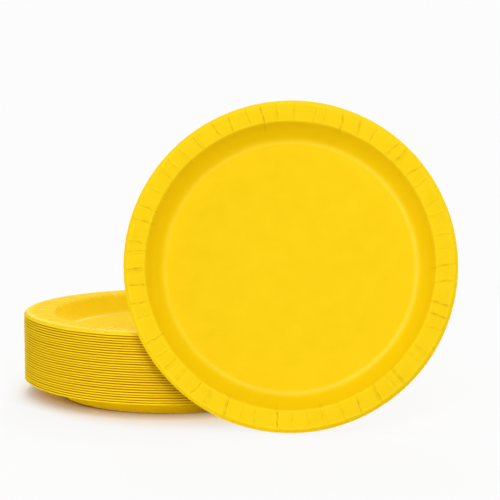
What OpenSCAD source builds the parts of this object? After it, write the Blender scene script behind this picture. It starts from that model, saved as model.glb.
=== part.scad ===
// A stack of round pressed paperboard plates, with one more plate that leans on its front.
// Millimetres, +Z up. The origin is the middle of the stack's underside, and -Y is the front.

/* [Plate] */
// Diameter across the edge of the lip
plate_d = 229; // [150:1:330]
// Depth, from the underside of the well to the crown of the rim
plate_depth = 15.5; // [11:0.5:24]
// Thickness of the pressed board
board = 0.45; // [0.3:0.05:0.7]
// Slope of the wall between the well and the rim, in degrees
wall_angle = 50; // [35:1:60]
// Radius of the hollow bend between the well and the wall
well_bend_r = 5.5; // [3:0.5:9]
// Radius of the bend between the wall and the rim
rim_bend_r = 1.5; // [1:0.1:3]

/* [Rim and lip] */
// Width of the rim, between its two bends
rim_w = 12.3; // [8:0.1:20]
// Rise of the rim's crown over its two sides
rim_crown = 0.3; // [0.1:0.05:0.8]
// Radius of the bend between the rim and the lip
lip_bend_r = 1.5; // [1:0.1:2.2]
// Height of the turned-down lip, from the crown of the rim to the lip's edge
lip_h = 3.2; // [2.8:0.1:5]
// Flare of the lip from the vertical, in degrees
lip_flare = 16.2; // [12:0.2:30]

/* [Pleats] */
// Number of pleats round the rim
pleat_count = 57; // [24:1:72]
// Width of the crease that a pleat leaves
pleat_w = 1; // [0.4:0.1:1.2]
// Depth of the crease in the board
pleat_depth = 0.22; // [0.1:0.02:0.26]
// How far a crease runs down the wall
pleat_tail = 4; // [1:0.5:6]

/* [Stack] */
// Number of plates in the stack
stack_count = 28; // [2:1:40]
// Free space between the lips of two nested plates
nest_gap = 0.05; // [0.03:0.01:0.3]

/* [Leaning plate] */
// Lean from the upright, in degrees
lean_tilt = 13; // [5:0.5:20]
// Turn of its face to the right, in degrees
lean_yaw = -3; // [-10:0.5:10]
// How far it stands to the right of the stack's middle
lean_x = 85.5; // [40:0.5:90]
// Free space between its back and the stack
lean_gap = 0.2; // [0.1:0.05:0.5]

/* [Hidden] */
stack_names = [for (i = [1:stack_count]) str("plate_", i < 10 ? "0" : "", i)];
$fn = 180;

plate_yellow = [0.98, 0.8, 0.1];
bend_steps = 3;
crown_steps = 2;
cut_over = 0.2;
// The pleats are not quite even: each is off its even place by up to this share of the spacing
pleat_scatter = 0.25;
pleat_seed = 7;
// Each plate of the stack is turned a little further than the one below
stack_turn = 137.5;

// Ways along the wall and down the lip, and from each to the underside of the board
wall_way = [cos(wall_angle), sin(wall_angle)];
wall_under = [sin(wall_angle), -cos(wall_angle)];
lip_way = [sin(lip_flare), -cos(lip_flare)];
lip_under = [-cos(lip_flare), -sin(lip_flare)];

// The crown is an arc over the width of the rim
crown_r = (pow(rim_w / 2, 2) + pow(rim_crown, 2)) / (2 * rim_crown);
crown_angle = asin(rim_w / 2 / crown_r);

// Section of a plate as [radius, height], worked out along the upper face from the lip's edge inwards
lip_edge = [plate_d / 2, plate_depth - lip_h];
lip_top_z = plate_depth - rim_crown - lip_bend_r * (cos(crown_angle) - sin(lip_flare));
lip_top = lip_edge - lip_way * (lip_top_z - lip_edge.y) / cos(lip_flare);
lip_bend_c = lip_top + lip_bend_r * lip_under;
crown_c = lip_bend_c - (crown_r - lip_bend_r) * [sin(crown_angle), cos(crown_angle)];
rim_bend_c = crown_c + (crown_r - rim_bend_r) * [-sin(crown_angle), cos(crown_angle)];
wall_top = rim_bend_c - rim_bend_r * wall_under;
wall_foot_z = board + well_bend_r * (1 - cos(wall_angle));
wall_foot = wall_top - wall_way * (wall_top.y - wall_foot_z) / sin(wall_angle);
well_bend_c = wall_foot - well_bend_r * wall_under;
well_r = well_bend_c.x;

// Nested plates meet at their lips, the steepest part of the section
nest_pitch = (board + nest_gap) / sin(lip_flare);
stack_top_z = (stack_count - 1) * nest_pitch;

function polar(r, angle) = r * [cos(angle), sin(angle)];

function arc(c, r, from, to, steps, first = 0) =
    [for (i = [first:steps]) c + polar(r, from + (to - from) * i / steps)];

function back(points) = [for (i = [len(points) - 1:-1:0]) points[i]];

// The well, rim and lip at a depth below the upper face, each from the inside outwards
function well_face(below) = concat(
    [[0, board - below]],
    arc(well_bend_c, well_bend_r + below, -90, wall_angle - 90, bend_steps)
);

function rim_face(below) = concat(
    arc(rim_bend_c, rim_bend_r - below, 90 + wall_angle, 90 + crown_angle, bend_steps),
    arc(crown_c, crown_r - below, 90 + crown_angle, 90 - crown_angle, crown_steps, 1)
);

function lip_bend_face(below) =
    arc(lip_bend_c, lip_bend_r - below, 90 - crown_angle, lip_flare, bend_steps, 1);

function lip_edge_point(below, past = 0) = lip_edge + below * lip_under + past * lip_way;

function plate_face(below) = concat(
    well_face(below), rim_face(below), lip_bend_face(below), [lip_edge_point(below)]
);

// A crease runs from the wall over the rim and down the lip
function crease_face(below) = concat(
    [wall_top - pleat_tail * wall_way + below * wall_under],
    rim_face(below), lip_bend_face(below), [lip_edge_point(below, cut_over)]
);

// Where the plate above covers the rim, only the lip shows its creases
function lip_crease_face(below) = [lip_top + below * lip_under, lip_edge_point(below, cut_over)];

module between(upper, lower) {
    polygon(concat(upper, back(lower)));
}

module plate_section() {
    between(plate_face(0), plate_face(board));
}

module crease_section(covered) {
    if (covered)
        between(lip_crease_face(-cut_over), lip_crease_face(pleat_depth));
    else
        between(crease_face(-cut_over), crease_face(pleat_depth));
}

module creases(seed, covered) {
    shift = rands(-pleat_scatter, pleat_scatter, pleat_count, seed);
    for (i = [0:pleat_count - 1])
        rotate([90, 0, (i + shift[i]) * 360 / pleat_count])
            linear_extrude(pleat_w, center = true)
                crease_section(covered);
}

module plate(seed, covered) {
    color(plate_yellow)
        difference() {
            rotate_extrude()
                plate_section();
            creases(seed, covered);
        }
}

module stack_plate(i) {
    translate([0, 0, i * nest_pitch])
        rotate([0, 0, i * stack_turn])
            plate(pleat_seed + i, i < stack_count - 1);
}

// Axes of the leaning plate: to its side, up its face, and out of its face
lean_side = [cos(lean_yaw), sin(lean_yaw), 0];
lean_up = [-sin(lean_yaw) * sin(lean_tilt), cos(lean_yaw) * sin(lean_tilt), cos(lean_tilt)];
lean_out = [sin(lean_yaw) * cos(lean_tilt), -cos(lean_yaw) * cos(lean_tilt), sin(lean_tilt)];

// It stands on its lip's edge
lean_z = lip_edge.x * cos(lean_tilt) - lip_edge.y * sin(lean_tilt);

// Height of a plate's underside at a radius: well, bend, wall and rim
under_bend_r = well_bend_r + board;
under_wall_foot = wall_foot + board * wall_under;
under_rim_z = plate_depth - rim_crown - board;
function under_wall_z(r) = under_wall_foot.y + (r - under_wall_foot.x) * tan(wall_angle);
function under_bend_z(r) = under_bend_r - sqrt(pow(under_bend_r, 2) - pow(r - well_r, 2));
function under_z(r) =
    r < well_r ? 0
    : r < under_wall_foot.x ? under_bend_z(r)
    : min(under_wall_z(r), under_rim_z);

// It leans on the lip of the top plate, and points along that lip find where
touch_step = 1;
touch_reach = 80;
touch_points = [
    for (a = [-touch_reach:touch_step:touch_reach])
        for (p = [lip_edge, lip_top])
            [p.x * sin(a), -p.x * cos(a), stack_top_z + p.y]
];

function room_at(from) = under_z(norm([from * lean_side, from * lean_up])) - from * lean_out;
function lean_room(y) = min([for (p = touch_points) room_at(p - [lean_x, y, lean_z])]);
function settled(y, tries) =
    tries == 0 ? y : settled(y - (lean_room(y) - lean_gap) / lean_out.y, tries - 1);
lean_y = settled(-plate_d, 12);

module leaning_plate() {
    translate([lean_x, lean_y, lean_z])
        rotate([90 - lean_tilt, 0, lean_yaw])
            plate(pleat_seed - 1, false);
}

for (i = [0:stack_count - 1])
    stack_plate(i);
leaning_plate();
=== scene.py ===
import math
import random
from collections import namedtuple

import bpy
import numpy as np
from mathutils import Matrix, Vector


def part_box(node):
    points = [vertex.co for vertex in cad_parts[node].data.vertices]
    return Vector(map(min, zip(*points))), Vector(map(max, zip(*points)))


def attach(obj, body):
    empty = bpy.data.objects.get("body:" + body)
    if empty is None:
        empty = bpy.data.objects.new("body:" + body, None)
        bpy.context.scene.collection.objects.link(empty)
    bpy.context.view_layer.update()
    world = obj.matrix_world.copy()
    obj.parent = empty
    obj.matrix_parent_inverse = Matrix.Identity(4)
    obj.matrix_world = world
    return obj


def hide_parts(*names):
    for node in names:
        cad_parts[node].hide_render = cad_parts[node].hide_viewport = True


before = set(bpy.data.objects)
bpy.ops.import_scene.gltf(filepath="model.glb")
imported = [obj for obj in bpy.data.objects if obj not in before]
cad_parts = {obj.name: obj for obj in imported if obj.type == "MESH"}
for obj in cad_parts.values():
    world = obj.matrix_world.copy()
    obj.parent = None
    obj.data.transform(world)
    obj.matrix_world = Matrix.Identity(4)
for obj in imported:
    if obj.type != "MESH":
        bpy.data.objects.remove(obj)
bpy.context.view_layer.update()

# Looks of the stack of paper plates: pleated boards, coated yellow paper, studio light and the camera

# Sizes of the plates are in millimetres, and their meshes and all of the studio in metres
MM = 0.001

# Section that all the plates share
BOARD = 0.45
WELL_BEND_R = 5.5
RIM_CROWN = 0.3
LIP_BEND_R = 1.5
LIP_H = 2.7

# The cut edge curls outwards a little, so that each lip stands clear of the next one down
LIP_CURL = 0.12
LIP_CURL_REACH = 0.7

# Width of the rim, slopes of the hollow wall, radius of the bend between them, and flare of the lip
Form = namedtuple("Form", "rim_w foot_slope top_slope bend_r flare")
LEAN_FORM = Form(rim_w=11.2, foot_slope=38.0, top_slope=63.0, bend_r=1.5, flare=42.0)

# The plates of the stack are pressed a little flatter at the rim, the top one most of all
STACK_FORM = Form(rim_w=14.5, foot_slope=42.0, top_slope=66.0, bend_r=1.5, flare=35.0)
TOP_FORM = Form(rim_w=16.5, foot_slope=40.0, top_slope=62.0, bend_r=4.0, flare=35.0)

# How the leaning plate stands
LEAN_TILT = 13.0
LEAN_YAW = -3.0

# Number of pleats, and how far each is off its even place as a share of the spacing
PLEAT_COUNT = 57
PLEAT_SCATTER = 0.27

# Seeds: each plate draws its pleats from its own one
PLEAT_SEED = 41
STACK_BOW_SEED = 3
LEAN_BOW_SEED = 8
EDGE_SEED_STEP = 5

# Relief beside a crease's line: heights are shares of the crease's depth
RIDGE_H = 0.35
RIDGE_AT = 1.1
RIDGE_W = 0.6
FOLD_H = 0.3
FOLD_W = 0.3
FOLD_REACH = 2.5
TWIN_H = 0.8
TWIN_W = 0.4

# Run of a crease: how it starts on the wall, wavers in strength, and how much of it is left on the lip
TAIL_FADE = 2.0
FRAY = 0.3
FRAY_PITCH = 0.9
LIP_FADE = 1.5
STACK_LIP_CREASE = 0.3
LEAN_LIP_CREASE = 0.5

# The panels between the pleats swell, from the top of the wall outwards
PANEL_SWELL = 0.10
PANEL_EDGE = 2.5
PANEL_BEFORE_RIM = 1.0
PANEL_FADE = 3.0

# Painted shade of a crease: its width over that of the groove, and the depth that gives the full shade
SHADE_W = 1.05
FULL_DEPTH = 0.26

# Wander of a crease's line: pitch of the slow and the fine wave, and height of the fine one
WAVE_PITCH = 0.55
FINE_WAVE_PITCH = 1.5
FINE_WAVE_SHARE = 0.5

# The columns of the mesh lie straight up to this share of the well
STRAIGHT_SHARE = 0.8

# Slow waves round a plate, as waves a turn and height: of the rim, and of the cut edge
BOW_WAVES = ((2, 0.22), (3, 0.14), (5, 0.06))
EDGE_WAVES = ((1, 0.10), (4, 0.07), (9, 0.05), (23, 0.03))

# Nick in the cut edge at each pleat, and what is left of the relief on the underside
NICK_SHARE = 0.25
NICK_W = 0.7
UNDER_RELIEF = 0.85

# Painted shade on the hollow wall, and how it rises from the foot and fades past the top
STACK_WALL_SHADE = 0.2
LEAN_WALL_SHADE = 0.85
WALL_SHADE_RISE = 3.0
WALL_SHADE_FALL = 2.0
WALL_SHADE_PAST_WALL = 0.5

# Painted highlight on the ring at the foot of the wall: on the leaning plate strongest at its lower right
STACK_RING_HIGHLIGHT = 0.36
LEAN_RING_HIGHLIGHT = 0.41
SIDE_SHARE = 0.39
RING_HIGHLIGHT_SIDE = math.radians(-25)
BEND_FADE = 0.6

# Painted sheen on the open rim of the stack, in streaks beside its pleats and along its lip bend
STREAK = 0.6
STREAK_AT = 2.2
STREAK_W = 1.8
RIM_HIGHLIGHT = 0.9
RIM_HIGHLIGHT_BEFORE_LIP = 2.2
RIM_HIGHLIGHT_W = 2.2

# Burnish on the two bends of the rim, and the share of the painted highlight on these bends of the leaning
# plate
BURNISH_BEFORE_LIP = 1.0
BURNISH_LIP_W = 1.1
BURNISH_PAST_WALL = 0.8
BURNISH_WALL_W = 0.7
BEND_HIGHLIGHT_SHARE = 0.4

# Shine on the ridge beside some pleats of the leaning plate
SHINE_AT = 1.2
SHINE_W = 0.4

# Past the lip bend the leaning plate is painted paler: partly its bare board, partly painted light on a lip
# that faces away from the lamps
BARE_FADE = 0.4

# Painted highlight on the lower band of the stack's lips; further up a covered lip, painted shade where the
# next plate keeps the light off it
EDGE_HIGHLIGHT = 0.9
EDGE_HIGHLIGHT_REACH = 1.1
EDGE_FADE = 0.4
LEE_FROM = 0.95
LEE_FADE = 0.35


def polar(r, degrees):
    return np.array([r * math.cos(math.radians(degrees)), r * math.sin(math.radians(degrees))])


def smooth(x):
    x = np.clip(x, 0.0, 1.0)
    return x * x * (3.0 - 2.0 * x)


def rise(x, start, length):
    """0 up to the start, and 1 from a length past it."""
    return smooth((x - start) / length)


def fall(x, end, length):
    """1 up to a length before the end, and 0 past it."""
    return smooth((end - x) / length)


def bell(x, width):
    return np.exp(-(x / width) ** 2)


# Section

class Section:
    """Upper face of a plate as stations from middle to lip: points, normals and way along the face."""

    def __init__(self, radius, depth, form, steps):
        lip_way = polar(1, form.flare - 90)
        lip_under = polar(1, form.flare + 180)
        crown_r = ((form.rim_w / 2) ** 2 + RIM_CROWN ** 2) / (2 * RIM_CROWN)
        crown_angle = math.degrees(math.asin(form.rim_w / 2 / crown_r))
        lip_edge = np.array([radius, depth - LIP_H])
        lip_bend_h = LIP_BEND_R * (polar(1, crown_angle)[0] - polar(1, form.flare)[1])
        lip_top_z = depth - RIM_CROWN - lip_bend_h
        lip_top = lip_edge + lip_way * (lip_top_z - lip_edge[1]) / lip_way[1]
        lip_bend_c = lip_top + LIP_BEND_R * lip_under
        crown_c = lip_bend_c - (crown_r - LIP_BEND_R) * polar(1, 90 - crown_angle)
        rim_bend_c = crown_c + (crown_r - form.bend_r) * polar(1, 90 + crown_angle)
        # The wall is hollow: its slope grows from the foot to the rim
        foot_angle = form.foot_slope - 90
        top_angle = form.top_slope - 90
        wall_top = rim_bend_c - form.bend_r * polar(1, top_angle)
        wall_rise = wall_top[1] - BOARD - WELL_BEND_R * (1 - polar(1, form.foot_slope)[0])
        wall_r = wall_rise / (polar(1, form.foot_slope)[0] - polar(1, form.top_slope)[0])
        wall_c = wall_top - wall_r * polar(1, top_angle)
        wall_foot = wall_c + wall_r * polar(1, foot_angle)
        well_bend_c = wall_foot - WELL_BEND_R * polar(1, foot_angle)
        self.well_r = well_bend_c[0]
        self.wall_foot_r = wall_foot[0]
        self.wall_top_r = wall_top[0]
        self.rim_w = form.rim_w
        self.lip_way = lip_way
        self.points = []
        self.normals = []
        for share in steps["well"]:
            self._add(np.array([share * self.well_r, BOARD]), np.array([0.0, 1.0]))
        self._arc(well_bend_c, WELL_BEND_R, -90, foot_angle, steps["well_bend"], hollow=True)
        foot_station = len(self.points) - 1
        self._arc(wall_c, wall_r, foot_angle, top_angle, steps["wall"], hollow=True)
        top_station = len(self.points) - 1
        self._arc(rim_bend_c, form.bend_r, 90 + form.top_slope, 90 + crown_angle, steps["rim_bend"])
        self._arc(crown_c, crown_r, 90 + crown_angle, 90 - crown_angle, steps["rim"])
        self._arc(lip_bend_c, LIP_BEND_R, 90 - crown_angle, form.flare, steps["lip_bend"])
        lip_station = len(self.points) - 1
        self._line(lip_top, lip_edge, -lip_under, steps["lip"])
        self.points = np.array(self.points)
        self.normals = np.array(self.normals)
        step = np.hypot(*np.diff(self.points, axis=0).T)
        self.way = np.concatenate([[0.0], np.cumsum(step)])
        self.well_way = self.way[len(steps["well"])]
        self.wall_foot_way = self.way[foot_station]
        self.wall_top_way = self.way[top_station]
        self.lip_top_way = self.way[lip_station]
        self.curl = LIP_CURL * bell(self.way[-1] - self.way, LIP_CURL_REACH)

    def _add(self, point, normal):
        self.points.append(point)
        self.normals.append(normal)

    def _arc(self, centre, r, start, end, steps, hollow=False):
        for i in range(1, steps + 1):
            way = polar(1, start + (end - start) * i / steps)
            self._add(centre + r * way, -way if hollow else way)

    def _line(self, start, end, normal, steps):
        for i in range(1, steps + 1):
            self._add(start + (end - start) * i / steps, normal)


# Pleats

def gathered_pleats(seed):
    """Place, strength and run of each pleat. A value that stands twice in a choice comes up more often."""
    draw = random.Random(seed)
    pleats = []
    for i in range(PLEAT_COUNT):
        angle = (i + draw.uniform(-PLEAT_SCATTER, PLEAT_SCATTER)) * 360 / PLEAT_COUNT
        pleats.append({
            "angle": math.radians(angle),
            "depth": draw.choice((0.08, 0.12, 0.16, 0.21, 0.27)) * draw.uniform(0.8, 1.15),
            "width": draw.uniform(0.4, 0.75),
            "slant": math.radians(draw.uniform(-9, 13)),
            "wave": draw.uniform(-0.45, 0.45),
            "phase": draw.uniform(0, 2 * math.pi),
            "side": draw.uniform(-1, 1),
            "tail": draw.choice((0.0, 0.0, 1.5, 3.0, 6.0, 12.0)) * draw.uniform(0.7, 1.2),
            "swell": draw.uniform(0.3, 1.0),
            "shine": draw.choice((0.0, 0.0, 0.0, 0.5, 1.0)),
            "twin": draw.choice((0.0, 0.0, 0.0, 0.5, 0.8, 1.0)),
            "twin_at": draw.choice((-1.7, 1.7)),
            "twin_slant": draw.uniform(-0.09, 0.09),
        })
    return pleats


def column_angles(pleats, radius, offsets, between):
    """Angles of the mesh's columns: close together at each pleat, and a few on the panel to the next one."""
    angles = []
    count = len(pleats)
    for i, pleat in enumerate(pleats):
        here = pleat["angle"]
        ahead = pleats[(i + 1) % count]["angle"] + (2 * math.pi if i == count - 1 else 0)
        angles += [here + offset / radius for offset in offsets]
        start = here + offsets[-1] / radius
        end = ahead + offsets[0] / radius
        angles += [start + (end - start) * k / (between + 1) for k in range(1, between + 1)]
    return np.array(angles)


def nearest_pleats(pleats, angles):
    """For each column, its nearest pleat and its turn from that pleat's line."""
    lines = np.array([pleat["angle"] for pleat in pleats])
    turn = (angles[:, None] - lines[None, :] + math.pi) % (2 * math.pi) - math.pi
    nearest = np.abs(turn).argmin(axis=1)
    return nearest, turn[np.arange(len(angles)), nearest]


def around(pleats, key, angles):
    """A value of the pleats carried smoothly round the plate."""
    lines = np.array([pleat["angle"] for pleat in pleats])
    values = np.array([pleat[key] for pleat in pleats])
    order = np.argsort(lines)
    return np.interp(angles, lines[order], values[order], period=2 * math.pi)


# A plate's mesh: steps along the section, offsets of the columns from a pleat's line, and columns on a panel

FINE_STEPS = {
    "well": (0.0, 0.5, 0.8, 0.93, 1.0), "well_bend": 8, "wall": 8,
    "rim_bend": 5, "rim": 12, "lip_bend": 6, "lip": 7,
}
PLAIN_STEPS = {
    "well": (0.0, 1.0), "well_bend": 3, "wall": 3,
    "rim_bend": 2, "rim": 4, "lip_bend": 4, "lip": 7,
}
FINE_OFFSETS = (
    -2.8, -2.3, -1.8, -1.4, -1.0, -0.65, -0.3,
    0.0, 0.3, 0.65, 1.0, 1.4, 1.8, 2.3, 2.8,
)
PLAIN_OFFSETS = (-0.9, 0.0, 0.9)
FINE_BETWEEN = 2
PLAIN_BETWEEN = 1


def waves_round(angles, draw, waves):
    """Sum of slow waves round a plate, each with its own random phase from the draw."""
    total = np.zeros_like(angles)
    for count, height in waves:
        total += height * np.sin(count * angles + draw.uniform(0, 2 * math.pi))
    return total


class Plate:
    """One pressed plate as a closed mesh in its own frame: middle of its underside at the origin, face up."""

    def __init__(self, radius, depth, seed, fine, form, bow_seed, stacked, covered=False):
        self.section = Section(radius, depth, form, FINE_STEPS if fine else PLAIN_STEPS)
        pleats = gathered_pleats(seed)
        offsets = FINE_OFFSETS if fine else PLAIN_OFFSETS
        angles = column_angles(pleats, radius, offsets, FINE_BETWEEN if fine else PLAIN_BETWEEN)
        nearest, turn = nearest_pleats(pleats, angles)
        across = turn * radius
        # Each column goes by the values of its nearest pleat
        own = {key: np.array([pleat[key] for pleat in pleats])[nearest] for key in pleats[0]}
        self._press_relief(own, across, STACK_LIP_CREASE if stacked else LEAN_LIP_CREASE)
        self._paint_light_shade_and_burnish(own, across, angles, stacked)
        if stacked:
            self._paint_light_and_shade_on_stack(own, across, covered)
        else:
            self._shine_leaning(own, across)
        self._run_lines(pleats, angles)
        # Pressed board never lies quite flat
        points_r = self.section.points[:, 0]
        from_well = rise(points_r, self.section.well_r, self._rim_middle() - self.section.well_r)
        self.bow = waves_round(angles, random.Random(bow_seed), BOW_WAVES)[None, :] * from_well[:, None]
        # The cut edge runs past its line in a slow drift, with a nick at each pleat
        drift = waves_round(angles, random.Random(seed + EDGE_SEED_STEP), EDGE_WAVES)
        self.run = drift - NICK_SHARE * own["depth"] * bell(across, NICK_W)

    def _rim_middle(self):
        return self.section.wall_top_r + self.section.rim_w / 2

    def _press_relief(self, own, across, lip_crease):
        """Lift of the face at the creases and on the panels between them, and the painted shade of the
        creases.
        """
        section = self.section
        way = section.way[:, None]
        tail = own["tail"][None, :]
        out = (section.points[:, 0] - section.wall_top_r)[:, None]
        # A crease fades in above its tail on the wall, and none is equally sharp all along
        fray = 1 - FRAY + FRAY * np.sin(FRAY_PITCH * out + 3 * own["phase"][None, :])
        self.along = rise(way, section.wall_top_way - tail, TAIL_FADE + tail) * fray
        on_lip = rise(way, section.lip_top_way - LIP_FADE, LIP_FADE)
        self.lip_share = 1 - (1 - lip_crease) * on_lip
        self.gathered = rise(way, section.wall_top_way - PANEL_BEFORE_RIM, PANEL_FADE)
        groove = bell(across, own["width"])
        right = bell(across - RIDGE_AT, RIDGE_W) * (1 + own["side"]) / 2
        left = bell(across + RIDGE_AT, RIDGE_W) * (1 - own["side"]) / 2
        fold = FOLD_H * own["side"] * np.tanh(across / FOLD_W) * np.exp(-np.abs(across) / FOLD_REACH)
        # Beside some creases runs a second one, at a slight angle to the first
        twin_across = (across - own["twin_at"])[None, :] - own["twin_slant"][None, :] * out
        twin = TWIN_H * own["twin"][None, :] * bell(twin_across, TWIN_W)
        profile = own["depth"][None, :] * (RIDGE_H * (right + left) + fold - groove - twin)
        panel = PANEL_SWELL * own["swell"] * (1 - bell(across, PANEL_EDGE))
        self.lift = (profile * self.along + panel[None, :] * self.gathered) * self.lip_share
        shade = np.minimum(bell(across, SHADE_W * own["width"])[None, :] + twin, 1.0)
        strength = (own["depth"] / FULL_DEPTH)[None, :]
        self.crease = shade * self.along * self.lip_share * strength

    def _paint_light_shade_and_burnish(self, own, across, angles, stacked):
        """Painted shade on the wall, painted highlight on the ring at its foot and on the rim's bends, the
        mould's burnish there, and the paler board past the lip bend, partly painted light.
        """
        section = self.section
        way = section.way[:, None]
        everywhere = np.ones_like(across)[None, :]
        # Painted shade on the hollow wall
        on_wall = rise(way, section.wall_foot_way, WALL_SHADE_RISE)
        on_wall = on_wall * fall(way, section.wall_top_way + WALL_SHADE_PAST_WALL, WALL_SHADE_FALL)
        self.painted_wall_shade = (STACK_WALL_SHADE if stacked else LEAN_WALL_SHADE) * on_wall * everywhere
        # Painted highlight on the ring at the foot of the wall
        bend = rise(way, section.well_way - BEND_FADE, 2 * BEND_FADE)
        bend = bend * fall(way, section.wall_foot_way + BEND_FADE, 3 * BEND_FADE)
        ring_highlight = STACK_RING_HIGHLIGHT * np.ones_like(across)
        if not stacked:
            ring_highlight = LEAN_RING_HIGHLIGHT * (1 - SIDE_SHARE + SIDE_SHARE * np.cos(angles - RING_HIGHLIGHT_SIDE))
        self.painted_highlight = bend * ring_highlight[None, :]
        # The rim's two bends: the burnish smooths them, and on the leaning plate they carry a painted
        # highlight
        at_lip = bell(way - section.lip_top_way + BURNISH_BEFORE_LIP, BURNISH_LIP_W)
        at_wall = bell(way - section.wall_top_way - BURNISH_PAST_WALL, BURNISH_WALL_W)
        self.bend_highlight = (at_lip + at_wall) * everywhere
        self.burnish = np.maximum(at_lip + at_wall, bend) * everywhere
        # Past the lip bend the leaning plate is painted paler, as on its back: partly bare board, partly
        # painted light on faces turned from the lamps
        bare = rise(way, section.lip_top_way - BARE_FADE, 2 * BARE_FADE)
        self.back = (0.0 if stacked else 1.0) * bare * everywhere

    def _paint_light_and_shade_on_stack(self, own, across, covered):
        """Painted highlight on the lower band of each lip in the stack, painted shade under the next lip, and
        painted sheen on the rim of the top plate.
        """
        section = self.section
        way = section.way[:, None]
        up_lip = (section.way[-1] - way) * np.ones_like(across)[None, :]
        # Painted highlight on the lower band of each lip, as if lit
        self.edge = EDGE_HIGHLIGHT * fall(up_lip, EDGE_HIGHLIGHT_REACH, EDGE_FADE)
        if covered:
            # Painted shade under the next lip
            self.lee = rise(up_lip, LEE_FROM, LEE_FADE)
            return
        self.lee = np.zeros_like(up_lip)
        # Painted sheen in streaks beside the pleats, and a painted highlight along the lip bend
        streak = own["swell"] * bell(across - np.copysign(STREAK_AT, own["side"]), STREAK_W)
        along_lip = bell(way - section.lip_top_way + RIM_HIGHLIGHT_BEFORE_LIP, RIM_HIGHLIGHT_W)
        painted_rim_sheen = STREAK * streak[None, :] * self.gathered + RIM_HIGHLIGHT * along_lip
        self.painted_highlight = np.maximum(self.painted_highlight, np.minimum(painted_rim_sheen, 1.0) * self.lip_share)

    def _shine_leaning(self, own, across):
        """Painted highlights on the bends of the leaning plate's rim, and on ridges beside some of its
        pleats.
        """
        ridge = own["shine"] * bell(across - np.copysign(SHINE_AT, own["side"]), SHINE_W)
        ridges = ridge[None, :] * self.along * self.lip_share
        self.edge = np.maximum(BEND_HIGHLIGHT_SHARE * self.bend_highlight, ridges)
        self.lee = np.zeros_like(self.edge)

    def _run_lines(self, pleats, angles):
        """Angle of each column at each station: the crease lines slant and wander on their way out."""
        section = self.section
        mid_r = self._rim_middle()
        out = (np.maximum(section.points[:, 0], section.wall_foot_r) - mid_r)[:, None]
        slant = around(pleats, "slant", angles)[None, :]
        wave = around(pleats, "wave", angles)[None, :]
        phase = around(pleats, "phase", angles)[None, :]
        aside = np.tan(slant) * out
        aside = aside + wave * np.sin(WAVE_PITCH * out + phase)
        aside = aside + FINE_WAVE_SHARE * wave * np.sin(FINE_WAVE_PITCH * out + 2 * phase)
        straight_r = STRAIGHT_SHARE * section.well_r
        reach = rise(section.points[:, 0], straight_r, section.well_r - straight_r)
        self.angles = angles[None, :] + reach[:, None] * aside / mid_r

    def face(self, below):
        """Vertices of the upper face, or at a depth below it: a row for each station but the middle."""
        section = self.section
        points = section.points[1:]
        normals = section.normals[1:]
        relief = self.lift[1:] * (1.0 if below == 0 else UNDER_RELIEF)
        lift = relief - below + section.curl[1:, None]
        r = points[:, :1] + normals[:, :1] * lift
        z = points[:, 1:] + normals[:, 1:] * lift + self.bow[1:]
        lip_length = section.way[-1] - section.lip_top_way
        down_lip = np.clip((section.way[1:] - section.lip_top_way) / lip_length, 0, 1)
        past = down_lip[:, None] * self.run[None, :]
        r = r + past * section.lip_way[0]
        z = z + past * section.lip_way[1]
        angles = self.angles[1:]
        return np.stack([r * np.cos(angles), r * np.sin(angles), z], axis=-1)

    def mesh(self, name):
        """Closed mesh: upper face, underside and cut edge, with the painted light and shade and the burnish
        as attributes.
        """
        upper = self.face(0)
        under = self.face(BOARD)
        rows, columns = upper.shape[:2]
        middle = np.array([[0, 0, BOARD], [0, 0, 0.0]])
        verts = np.concatenate([upper.reshape(-1, 3), under.reshape(-1, 3), middle])
        top_i = len(verts) - 2
        ids = np.arange(rows * columns).reshape(rows, columns)
        ahead = np.roll(ids, -1, axis=1)
        low = rows * columns
        quads = np.concatenate([
            np.stack([ids[:-1], ids[1:], ahead[1:], ahead[:-1]], axis=-1).reshape(-1, 4),
            low + np.stack([ids[:-1], ahead[:-1], ahead[1:], ids[1:]], axis=-1).reshape(-1, 4),
            np.stack([ids[-1], low + ids[-1], low + ahead[-1], ahead[-1]], axis=-1).reshape(-1, 4),
        ])
        fans = np.concatenate([
            np.stack([np.full(columns, top_i), ids[0], ahead[0]], axis=-1),
            np.stack([np.full(columns, top_i + 1), low + ahead[0], low + ids[0]], axis=-1),
        ])
        mesh = bpy.data.meshes.new(name)
        mesh.from_pydata((verts * MM).tolist(), [], quads.tolist() + fans.tolist())
        smooth_faces = np.ones(len(mesh.polygons), dtype=bool)
        smooth_faces[len(quads) - columns:len(quads)] = False
        mesh.polygons.foreach_set("use_smooth", smooth_faces)
        self._write_marks(mesh)
        # The cut edge is sharp along both of its sides
        ends = np.empty(len(mesh.edges) * 2, dtype=np.int32)
        mesh.edges.foreach_get("vertices", ends)
        pairs = ends.reshape(-1, 2)
        sharp = np.isin(pairs, ids[-1]).all(axis=1) | np.isin(pairs, low + ids[-1]).all(axis=1)
        mesh.attributes.new("sharp_edge", "BOOLEAN", "EDGE").data.foreach_set("value", sharp)
        mesh.validate()
        return mesh

    def _write_marks(self, mesh):
        """Each mark on the upper face, and on the underside; the two middles have none."""
        none = np.zeros_like(self.lee)
        # Every underside takes the paler back colour, partly painted light on the stack's shaded foot
        marks = {
            "crease": (self.crease, self.crease), "painted_highlight": (self.painted_highlight, self.painted_highlight),
            "edge": (self.edge, none), "lee": (self.lee, none), "burnish": (self.burnish, none),
            "back": (self.back, none + 1), "painted_wall_shade": (self.painted_wall_shade, none),
        }
        for mark, (upper, under) in marks.items():
            values = np.concatenate([upper[1:].ravel(), under[1:].ravel(), [0.0, 0.0]])
            data = mesh.attributes.new(mark, "FLOAT", "POINT").data
            data.foreach_set("value", values.astype(np.float32))

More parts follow.
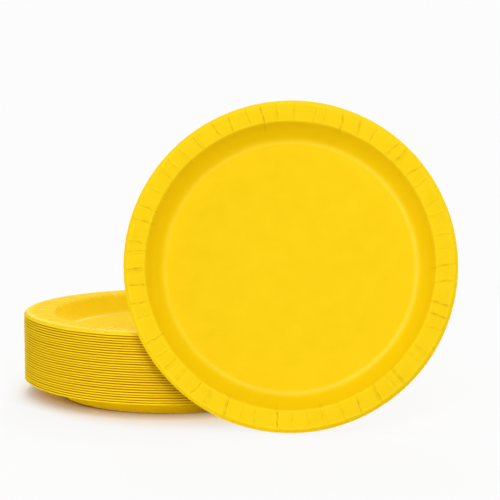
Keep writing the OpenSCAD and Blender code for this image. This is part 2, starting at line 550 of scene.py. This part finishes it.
    def reach(self):
        """Points of the even section, upper face and underside, as radius and height."""
        section = self.section
        return np.concatenate([section.points, section.points - BOARD * section.normals])


# Materials

def noise_node(tree, where, scale, detail, roughness=0.5):
    made = tree.nodes.new("ShaderNodeTexNoise")
    made.inputs["Scale"].default_value = scale
    made.inputs["Detail"].default_value = detail
    made.inputs["Roughness"].default_value = roughness
    tree.links.new(where, made.inputs["Vector"])
    return made.outputs["Fac"]


def attribute_node(tree, name):
    made = tree.nodes.new("ShaderNodeAttribute")
    made.attribute_name = name
    return made.outputs["Fac"]


def distance_node(tree, where, middle):
    made = tree.nodes.new("ShaderNodeVectorMath")
    made.operation = "DISTANCE"
    made.inputs[1].default_value = middle
    tree.links.new(where, made.inputs[0])
    return made.outputs["Value"]


def ramp(tree, source, low, high, low_value, high_value):
    made = tree.nodes.new("ShaderNodeMapRange")
    made.inputs["From Min"].default_value = low
    made.inputs["From Max"].default_value = high
    made.inputs["To Min"].default_value = low_value
    made.inputs["To Max"].default_value = high_value
    tree.links.new(source, made.inputs["Value"])
    return made.outputs["Result"]


def maths(tree, operation, a, b):
    made = tree.nodes.new("ShaderNodeMath")
    made.operation = operation
    for socket, value in zip(made.inputs, (a, b)):
        if isinstance(value, (int, float)):
            socket.default_value = value
        else:
            tree.links.new(value, socket)
    return made.outputs["Value"]


def blended(tree, a, b, share):
    """Sum of two values, of which the first has this share."""
    return maths(tree, "ADD", maths(tree, "MULTIPLY", a, share), maths(tree, "MULTIPLY", b, 1 - share))


def mixed(tree, factor, a, b):
    made = tree.nodes.new("ShaderNodeMix")
    made.data_type = "RGBA"
    tree.links.new(factor, made.inputs["Factor"])
    for socket, value in ((made.inputs["A"], a), (made.inputs["B"], b)):
        if isinstance(value, tuple):
            socket.default_value = value
        else:
            tree.links.new(value, socket)
    return made.outputs["Result"]


def seen_directly(tree):
    """1 for what is seen, straight on, in a shine or through glass, and 0 for light that bounces."""
    path = tree.nodes.new("ShaderNodeLightPath")
    seen = maths(tree, "MAXIMUM", path.outputs["Is Camera Ray"], path.outputs["Is Glossy Ray"])
    return maths(tree, "MAXIMUM", seen, path.outputs["Is Transmission Ray"])


# Body colour of the paper, light and dark in its mottle
PAPER_YELLOW = (0.885, 0.590, 0.005, 1)
PAPER_LIGHT = (0.915, 0.615, 0.007, 1)

# Marks laid over the body in this order: attribute, strength and colour
PAPER_MARKS = (
    # Painted shade on the hollow wall
    ("painted_wall_shade", 1.0, (0.850, 0.555, 0.0003, 1)),
    # Painted highlight on the ring, and painted sheen on the top plate's rim
    ("painted_highlight", 0.9, (0.945, 0.735, 0.085, 1)),
    # Painted shade in the creases
    ("crease", 0.74, (0.640, 0.340, 0.001, 1)),
    # Painted highlight on the lower band of the stack's lips, and on the leaning plate's bends and ridges
    ("edge", 1.0, (0.935, 0.700, 0.009, 1)),
    # Painted shade under the next lip
    ("lee", 1.0, (0.500, 0.170, 0.001, 1)),
    # Paler back and bare board: partly painted light
    ("back", 1.0, (0.975, 0.640, 0.003, 1)),
)

# Noise in waves a metre, the mottle's share in the tone over the fibre's, and the span of tone that shows
MOTTLE_SCALE = 85.0
FIBRE_SCALE = 900.0
FIBRE_ROUGHNESS = 0.6
GRAIN_SCALE = 2600.0
MOTTLE_SHARE = 0.7
TONE_SPAN = (0.35, 0.65)

# Roughness over the span of the fibre, how much of it burnish takes off, and the plain sheen
FIBRE_SPAN = (0.3, 0.7)
PAPER_ROUGHNESS = (0.70, 0.78)
BURNISH_SMOOTHS = 0.36
PAPER_SPECULAR = 0.05

# Bump of the grain and fibre
GRAIN_SHARE = 0.35
BUMP_STRENGTH = 0.25
BUMP_HEIGHT = 0.00012


def paperboard():
    """Dyed board with a thin satin coat: mottled, fine in grain, with painted shade in its creases, on its
    walls and under the lips, painted highlights on its bends and lips, and a paler back.
    """
    material = bpy.data.materials.new("paperboard")
    material.use_nodes = True
    tree = material.node_tree
    shader = tree.nodes["Principled BSDF"]
    where = tree.nodes.new("ShaderNodeTexCoord").outputs["Object"]
    mottle = noise_node(tree, where, MOTTLE_SCALE, 3.0)
    fibre = noise_node(tree, where, FIBRE_SCALE, 4.0, FIBRE_ROUGHNESS)
    grain = noise_node(tree, where, GRAIN_SCALE, 2.0)
    tone = ramp(tree, blended(tree, mottle, fibre, MOTTLE_SHARE), *TONE_SPAN, 0.0, 1.0)
    body = mixed(tree, tone, PAPER_YELLOW, PAPER_LIGHT)
    for mark, strength, colour in PAPER_MARKS:
        share = attribute_node(tree, mark)
        if strength < 1:
            share = ramp(tree, share, 0.0, 1.0, 0.0, strength)
        body = mixed(tree, share, body, colour)
    tree.links.new(body, shader.inputs["Base Color"])
    smoothed = ramp(tree, attribute_node(tree, "burnish"), 0.0, 1.0, 0.0, BURNISH_SMOOTHS)
    rough = maths(tree, "SUBTRACT", ramp(tree, fibre, *FIBRE_SPAN, *PAPER_ROUGHNESS), smoothed)
    tree.links.new(rough, shader.inputs["Roughness"])
    shader.inputs["Specular IOR Level"].default_value = PAPER_SPECULAR
    bump = tree.nodes.new("ShaderNodeBump")
    bump.inputs["Strength"].default_value = BUMP_STRENGTH
    bump.inputs["Distance"].default_value = BUMP_HEIGHT
    tree.links.new(blended(tree, grain, fibre, GRAIN_SHARE), bump.inputs["Height"])
    tree.links.new(bump.outputs["Normal"], shader.inputs["Normal"])
    return material


# Plates in their places, by the boxes of their CAD nodes

paper = paperboard()
first_low, first_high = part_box("plate_01")
plate_r = (first_high[0] - first_low[0]) / 2 / MM
plate_depth = (first_high[2] - first_low[2]) / MM
stack_names = sorted(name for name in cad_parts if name.startswith("plate_"))


def plate_object(name, plate, place, node_name):
    mesh = plate.mesh(name)
    mesh.transform(place)
    mesh.materials.append(paper)
    piece = bpy.data.objects.new(name, mesh)
    bpy.context.scene.collection.objects.link(piece)
    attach(piece, "root")
    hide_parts(node_name)


def build_stack():
    for i, name in enumerate(stack_names):
        low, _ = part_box(name)
        on_top = i == len(stack_names) - 1
        form = TOP_FORM if on_top else STACK_FORM
        plate = Plate(
            plate_r, plate_depth, PLEAT_SEED + i, on_top, form,
            bow_seed=STACK_BOW_SEED, stacked=True, covered=not on_top,
        )
        plate_object("board_" + name[-2:], plate, Matrix.Translation((0, 0, low[2])), name)


def build_leaning():
    """The plate's middle follows from the box of its CAD node, which its tilted outline fills."""
    plate = Plate(
        plate_r, plate_depth, PLEAT_SEED - 1, True, LEAN_FORM,
        bow_seed=LEAN_BOW_SEED, stacked=False,
    )
    yaw = Matrix.Rotation(math.radians(LEAN_YAW), 4, "Z")
    turn = yaw @ Matrix.Rotation(math.radians(90 - LEAN_TILT), 4, "X")
    axis = turn.to_3x3() @ Vector((0, 0, 1))
    low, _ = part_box("leaning_plate")
    reach = plate.reach() * MM
    middle = [
        low[k] - min(z * axis[k] - r * math.sqrt(1 - axis[k] ** 2) for r, z in reach)
        for k in range(3)
    ]
    plate_object("leaning_board", plate, Matrix.Translation(middle) @ turn, "leaning_plate")


# Studio

WHITE = 0.975
PLAIN_WHITE = (1, 1, 1, 1)
WORLD_FILL = 0.35

# Floor: its white as seen and as it lights the object, and its painted contact shadow, orange as if lit by
# light bounced off the plates
FLOOR_HALF = 4.0
FLOOR_SEEN = (0.93, 0.93, 0.93, 1)
FLOOR_BOUNCE = (0.52, 0.52, 0.52, 1)
PAINTED_CONTACT_SHADOW = (0.80, 0.51, 0.27, 1)
PAINTED_TOUCH_SHADOW = (0.12, 0.08, 0.04, 1)
CONTACT_REACH = 0.020

# Openness over which the darkest painted shadow at the touch gives way to the rest of the painted contact
# shadow
TOUCH_RAMP = (0.10, 0.34, 0.0, 1.0)

# The shadow lies a little behind the stack's middle, as the light comes from the front
SHADOW_MIDDLE = (-0.009, 0.018, 0.0)

# White and bounce of the floor by the way from there: two distances, and the value at each
NEAR_WHITE = (0.0945, 0.127, 0.0, 0.86)
FAR_WHITE = (0.130, 0.60, 0.0, 0.14)
BOUNCE_RAMP = (0.15, 0.24, 0.0, 1.0)

# Painted bounce light: the white near the foot takes on the colour of the plates, as if lit by light bounced
# off them
WARM_MIDDLE = (0.015, -0.010, 0.0)
WARM_RAMP = (0.085, 0.128, 1.0, 0.0)
PAINTED_BOUNCE_WHITE = (0.90, 0.70, 0.46, 1)


def floor_material():
    """White paper floor: it keeps the object's shadow near by, deepened by a painted contact shadow and
    warmed by painted bounce light, and runs out into plain white.
    """
    material = bpy.data.materials.new("studio_white")
    material.use_nodes = True
    tree = material.node_tree
    tree.nodes.clear()
    output = tree.nodes.new("ShaderNodeOutputMaterial")
    diffuse = tree.nodes.new("ShaderNodeBsdfDiffuse")
    glow = tree.nodes.new("ShaderNodeEmission")
    glow.inputs["Strength"].default_value = WHITE
    where = tree.nodes.new("ShaderNodeTexCoord").outputs["Object"]
    length = distance_node(tree, where, SHADOW_MIDDLE)
    white = maths(tree, "ADD", ramp(tree, length, *NEAR_WHITE), ramp(tree, length, *FAR_WHITE))
    # Painted bounce light: the white glow near the foot is tinted like the plates
    painted_bounce = ramp(tree, distance_node(tree, where, WARM_MIDDLE), *WARM_RAMP)
    tree.links.new(mixed(tree, painted_bounce, PLAIN_WHITE, PAINTED_BOUNCE_WHITE), glow.inputs["Color"])
    seen = seen_directly(tree)
    bounce = mixed(tree, ramp(tree, length, *BOUNCE_RAMP), FLOOR_SEEN, FLOOR_BOUNCE)
    # Painted contact shadow: the floor's seen colour darkens with the occlusion near the object, orange as if
    # lit by the plates
    contact = tree.nodes.new("ShaderNodeAmbientOcclusion")
    contact.inputs["Distance"].default_value = CONTACT_REACH
    openness = contact.outputs["AO"]
    painted_shadow = mixed(tree, ramp(tree, openness, *TOUCH_RAMP), PAINTED_TOUCH_SHADOW, PAINTED_CONTACT_SHADOW)
    painted_shadow = mixed(tree, openness, painted_shadow, FLOOR_SEEN)
    tree.links.new(mixed(tree, seen, bounce, painted_shadow), diffuse.inputs["Color"])
    mix = tree.nodes.new("ShaderNodeMixShader")
    tree.links.new(maths(tree, "MULTIPLY", white, seen), mix.inputs["Fac"])
    tree.links.new(diffuse.outputs["BSDF"], mix.inputs[1])
    tree.links.new(glow.outputs["Emission"], mix.inputs[2])
    tree.links.new(mix.outputs["Shader"], output.inputs["Surface"])
    return material


def build_floor():
    half = FLOOR_HALF
    mesh = bpy.data.meshes.new("floor")
    corners = [(-half, -half, 0), (half, -half, 0), (half, half, 0), (-half, half, 0)]
    mesh.from_pydata(corners, [], [(0, 1, 2, 3)])
    mesh.materials.append(floor_material())
    floor = bpy.data.objects.new("floor", mesh)
    bpy.context.scene.collection.objects.link(floor)


def build_world():
    """White where it is seen, and a weaker fill where it lights the object."""
    world = bpy.data.worlds.new("studio")
    bpy.context.scene.world = world
    world.use_nodes = True
    tree = world.node_tree
    tree.nodes.clear()
    output = tree.nodes.new("ShaderNodeOutputWorld")
    mix = tree.nodes.new("ShaderNodeMixShader")
    tree.links.new(seen_directly(tree), mix.inputs["Fac"])
    for socket, strength in ((mix.inputs[1], WORLD_FILL), (mix.inputs[2], WHITE)):
        background = tree.nodes.new("ShaderNodeBackground")
        background.inputs["Color"].default_value = PLAIN_WHITE
        background.inputs["Strength"].default_value = strength
        tree.links.new(background.outputs["Background"], socket)
    tree.links.new(mix.outputs["Shader"], output.inputs["Surface"])


LIT_MIDDLE = (0.05, 0.0, 0.08)
LAMP_DISTANCE = 2.0


def area_light(name, azimuth, height, size, level):
    """A soft square lamp that aims at the object: a white sheet facing it there is as bright as its level."""
    flat = math.cos(math.radians(height))
    way = Vector((
        flat * math.cos(math.radians(azimuth)),
        flat * math.sin(math.radians(azimuth)),
        math.sin(math.radians(height)),
    ))
    light = bpy.data.lights.new(name, "AREA")
    light.shape = "SQUARE"
    light.size = size
    light.energy = level * math.pi ** 2 * LAMP_DISTANCE ** 2
    lamp = bpy.data.objects.new(name, light)
    lamp.location = Vector(LIT_MIDDLE) + LAMP_DISTANCE * way
    lamp.rotation_euler = way.to_track_quat("Z", "Y").to_euler()
    bpy.context.scene.collection.objects.link(lamp)


def build_lights():
    area_light("front", azimuth=-90, height=42, size=0.9, level=0.36)
    area_light("low_left", azimuth=-118, height=6, size=0.4, level=0.12)
    area_light("low_right", azimuth=-72, height=6, size=0.4, level=0.18)
    area_light("left", azimuth=-168, height=8, size=0.5, level=0.15)
    area_light("right", azimuth=0, height=20, size=0.8, level=0.14)
    area_light("top", azimuth=90, height=80, size=1.0, level=0.17)
    area_light("back", azimuth=90, height=38, size=0.9, level=0.42)


# Camera, from a fit of the plates' outlines in the photograph

PHOTO_PX = 500
FOCAL_PX = 1499
SENSOR_W = 36.0
CAMERA_DROP = 6.35
CAMERA_DISTANCE = 1.1455
CAMERA_TARGET = (0.05765, 0.0, 0.1084)


def build_camera():
    data = bpy.data.cameras.new("camera")
    data.sensor_width = SENSOR_W
    data.lens = FOCAL_PX * SENSOR_W / PHOTO_PX
    camera = bpy.data.objects.new("camera", data)
    down = math.radians(CAMERA_DROP)
    ahead = Vector((0, math.cos(down), -math.sin(down)))
    camera.location = Vector(CAMERA_TARGET) - CAMERA_DISTANCE * ahead
    camera.rotation_euler = (math.radians(90 - CAMERA_DROP), 0, 0)
    bpy.context.scene.collection.objects.link(camera)
    bpy.context.scene.camera = camera


build_stack()
build_leaning()
build_floor()
build_world()
build_lights()
build_camera()
bpy.context.scene.view_settings.view_transform = "Standard"
